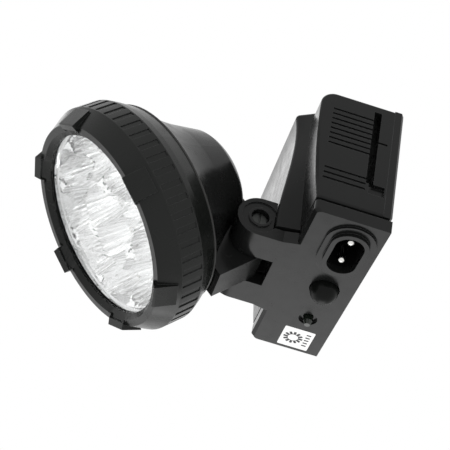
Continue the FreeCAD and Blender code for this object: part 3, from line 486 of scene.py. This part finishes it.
def make_leds():
    """Clear through-hole LEDs, each with its metal cup and phosphor spot."""
    domes = bmesh.new()
    cups = bmesh.new()
    spots = bmesh.new()
    tip = CUP_FOOT + LED_HEIGHT - LED_RADIUS
    arc = [circle_point(math.radians(10 * i), LED_RADIUS) for i in range(9)]
    dome = [(spot.x, tip + spot.y) for spot in arc] + [(0, tip + LED_RADIUS)]
    for centre in cup_centres():
        place = HEAD @ Matrix.Translation((centre.x, centre.y, 0))
        lathe(domes, raised(LED_COLLAR_PROFILE, LED_SEAT) + dome, place, 32)
        lathe(cups, raised(LED_CUP_PROFILE, LED_SEAT), place, 20)
        lathe(spots, raised(PHOSPHOR_PROFILE, LED_SEAT), place, 16)
    phosphor = tinted("phosphor", (0.9, 0.72, 0.12), 0.5)
    epoxy, metal_cup = MATERIALS["led_epoxy"], MATERIALS["pin_metal"]
    shown = new_object("led_domes", mesh_from("led_domes", domes), "head", epoxy)
    new_object("led_cups", mesh_from("led_cups", cups), "head", metal_cup)
    new_object("led_phosphor", mesh_from("led_phosphor", spots), "head", phosphor)
    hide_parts("leds")


# Bezel and case


def dressed(name, node, body, reshape):
    """A copy of a solid's mesh with some of its points moved, standing for that solid."""
    mesh = frame["nodes"][node].data.copy()
    mesh.name = name
    for vertex in mesh.vertices:
        vertex.co = reshape(vertex.co)
    piece = new_object(name, mesh, body)
    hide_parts(node)


def eased_bezel(point):
    """Lugs set back from the lens edge with slanted fronts, and shallower grooves between the ribs."""
    spot = HEAD.inverted() @ point
    radius = math.hypot(spot.x, spot.y)
    lug_end = spot.z > LUG_STEP and abs(radius - LUG_WAS) < LUG_NEAR
    groove = RIB_FOOT < spot.z < RIB_HEAD and abs(radius - GROOVE_WAS) < GROOVE_NEAR
    if lug_end:
        grow = LUG_INNER / LUG_WAS
        front = LUG_INNER_FRONT if spot.z > LUG_RAISED else BEZEL_FRONT
        return HEAD @ Vector((spot.x * grow, spot.y * grow, front))
    if spot.z > LUG_RAISED:
        return HEAD @ Vector((spot.x, spot.y, spot.z - LUG_DROP))
    if groove:
        grow = GROOVE_FLOOR / GROOVE_WAS
        return HEAD @ Vector((spot.x * grow, spot.y * grow, spot.z))
    return point.copy()


def widened_seam(point):
    """The case foot's upper edge a little lower, so that the seam reads as a dark groove."""
    if abs(point.z - SEAM_EDGE) < SEAM_NEAR:
        return Vector((point.x, point.y, SEAM_EDGE - SEAM_EASE))
    return point.copy()


def make_bezel_bead():
    """Round bead on the bezel's rear edge, in a paler plastic that paints a highlight line."""
    bm = bmesh.new()
    arc = [circle_point(math.tau * i / BEAD_STEPS, BEAD) for i in range(BEAD_STEPS + 1)]
    lathe(bm, [(BEAD_RING + spot.x, BEAD_LEVEL + spot.y) for spot in arc], HEAD, 128)
    bmesh.ops.remove_doubles(bm, verts=bm.verts, dist=1e-6)
    bead = mesh_from("bezel_bead", bm)
    new_object("bezel_bead", bead, "head", MATERIALS["bezel_edge"])


# Underside


def slab(bm, corners, low, high):
    bottom = [bm.verts.new((x, y, low)) for x, y in corners]
    top = [bm.verts.new((x, y, high)) for x, y in corners]
    bm.faces.new(bottom)
    bm.faces.new(top)
    for i in range(len(corners)):
        after = (i + 1) % len(corners)
        bm.faces.new((bottom[i], bottom[after], top[after], top[i]))


def mark(centre, along, width):
    """Corners of a printed mark whose middle and direction are given."""
    side = Vector((-along.y, along.x)) * width / 2
    end = along * MARK_LENGTH / 2
    return [centre - end - side, centre + end - side, centre + end + side, centre - end + side]


def label_outline():
    """The label's edge, with its corners rounded."""
    corners = (
        (LABEL_RIGHT, LABEL_REAR, 0),
        (LABEL_LEFT, LABEL_REAR, 90),
        (LABEL_LEFT, LABEL_FRONT, 180),
        (LABEL_RIGHT, LABEL_FRONT, 270),
    )
    outline = []
    for x, y, start in corners:
        inward = LABEL_MIDDLE - Vector((x, y))
        inset = Vector((math.copysign(LABEL_CORNER, inward.x), math.copysign(LABEL_CORNER, inward.y)))
        for step in range(LABEL_CORNER_STEPS + 1):
            turn = math.radians(start + 90 * step / LABEL_CORNER_STEPS)
            outline.append(Vector((x, y)) + inset + circle_point(turn, LABEL_CORNER))
    return outline


def make_label():
    """White date label: a plain ring of twelve ticks and a column of bars."""
    bm = bmesh.new()
    slab(bm, label_outline(), LABEL_FACE, LABEL_BACK)
    label = mesh_from("date_label", bm, smooth=False)
    new_object("date_label", label, "case", printed_film())
    bm = bmesh.new()
    for i in range(TICKS):
        along = circle_point(math.tau * i / TICKS)
        corners = mark(TICK_RING + along * TICK_RING_RADIUS, along, TICK_WIDTH)
        slab(bm, corners, LABEL_FACE - INK, LABEL_FACE)
    for i in range(BARS):
        corners = mark(FIRST_BAR + Vector((BAR_PITCH * i, 0)), Vector((0, 1)), BAR_WIDTH)
        slab(bm, corners, LABEL_FACE - INK, LABEL_FACE)
    marks = mesh_from("date_label_ticks", bm, smooth=False)
    ink = tinted("label_ink", (0.02, 0.02, 0.025), 0.5)
    new_object("date_label_ticks", marks, "case", ink)


def make_inlet_pins():
    """Round-ended contact pins in the place of the plain ones."""
    low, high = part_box("inlet_pins")
    length = high[2] - low[2]
    bm = bmesh.new()
    tip = []
    for i in range(10):
        turn = math.radians(10 * i)
        tip.append((PIN_RADIUS * math.sin(turn), PIN_ROUND * (1 - math.cos(turn))))
    shank = [(PIN_RADIUS, PIN_SHOULDER), (PIN_TAIL_RADIUS, PIN_SHOULDER)]
    shank += [(PIN_TAIL_RADIUS, length), (0, length)]
    for x in (low[0] + PIN_RADIUS, high[0] - PIN_RADIUS):
        place = Matrix.Translation((x, (low[1] + high[1]) / 2, low[2]))
        lathe(bm, tip + shank, place, 32)
    mesh = mesh_from("contact_pins", bm)
    pins = new_object("contact_pins", mesh, "case", MATERIALS["pin_metal"])
    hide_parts("inlet_pins")


# Camera, surround and lamps


def make_camera():
    camera = bpy.data.cameras.new("camera")
    camera.lens = CAMERA_LENS
    camera.sensor_width = CAMERA_SENSOR
    camera.clip_start = CAMERA_CLIP
    holder = bpy.data.objects.new("camera", camera)
    aim = (CAMERA_TARGET - CAMERA_PLACE).to_track_quat("-Z", "Y").to_matrix().to_4x4()
    holder.matrix_world = Matrix.Translation(CAMERA_PLACE) @ aim @ Matrix.Rotation(CAMERA_ROLL, 4, "Z")
    bpy.context.scene.collection.objects.link(holder)
    bpy.context.scene.camera = holder


def make_world():
    """A plain white surround."""
    world = bpy.data.worlds.new("studio")
    bpy.context.scene.world = world
    world.use_nodes = True
    background = world.node_tree.nodes["Background"]
    background.inputs["Color"].default_value = (1, 1, 1, 1)
    background.inputs["Strength"].default_value = 1.0


def make_floor():
    bm = bmesh.new()
    bmesh.ops.create_circle(bm, cap_ends=True, segments=96, radius=FLOOR_RADIUS)
    mesh = mesh_from("studio_floor", bm, smooth=False)
    mesh.materials.append(studio_paper())
    floor = bpy.data.objects.new("studio_floor", mesh)
    floor.location = (0, 0, FLOOR_HEIGHT)
    bpy.context.scene.collection.objects.link(floor)


def make_lamps():
    for name, place, target, size, power in LAMPS:
        lamp = bpy.data.lights.new(name, "AREA")
        lamp.size = size
        lamp.energy = power
        holder = bpy.data.objects.new(name, lamp)
        holder.location = place
        aim = Vector(target) - Vector(place)
        holder.rotation_euler = aim.to_track_quat("-Z", "Y").to_euler()
        holder.visible_camera = False
        bpy.context.scene.collection.objects.link(holder)


bpy.context.scene.view_settings.view_transform = "Standard"
make_camera()
make_world()
make_floor()
make_lamps()
dress_nodes()
make_reflector()
make_leds()
dressed("bezel_dressed", "bezel_ring", "head", eased_bezel)
make_bezel_bead()
dressed("base_dressed", "base_cover", "case", widened_seam)
make_label()
make_inlet_pins()
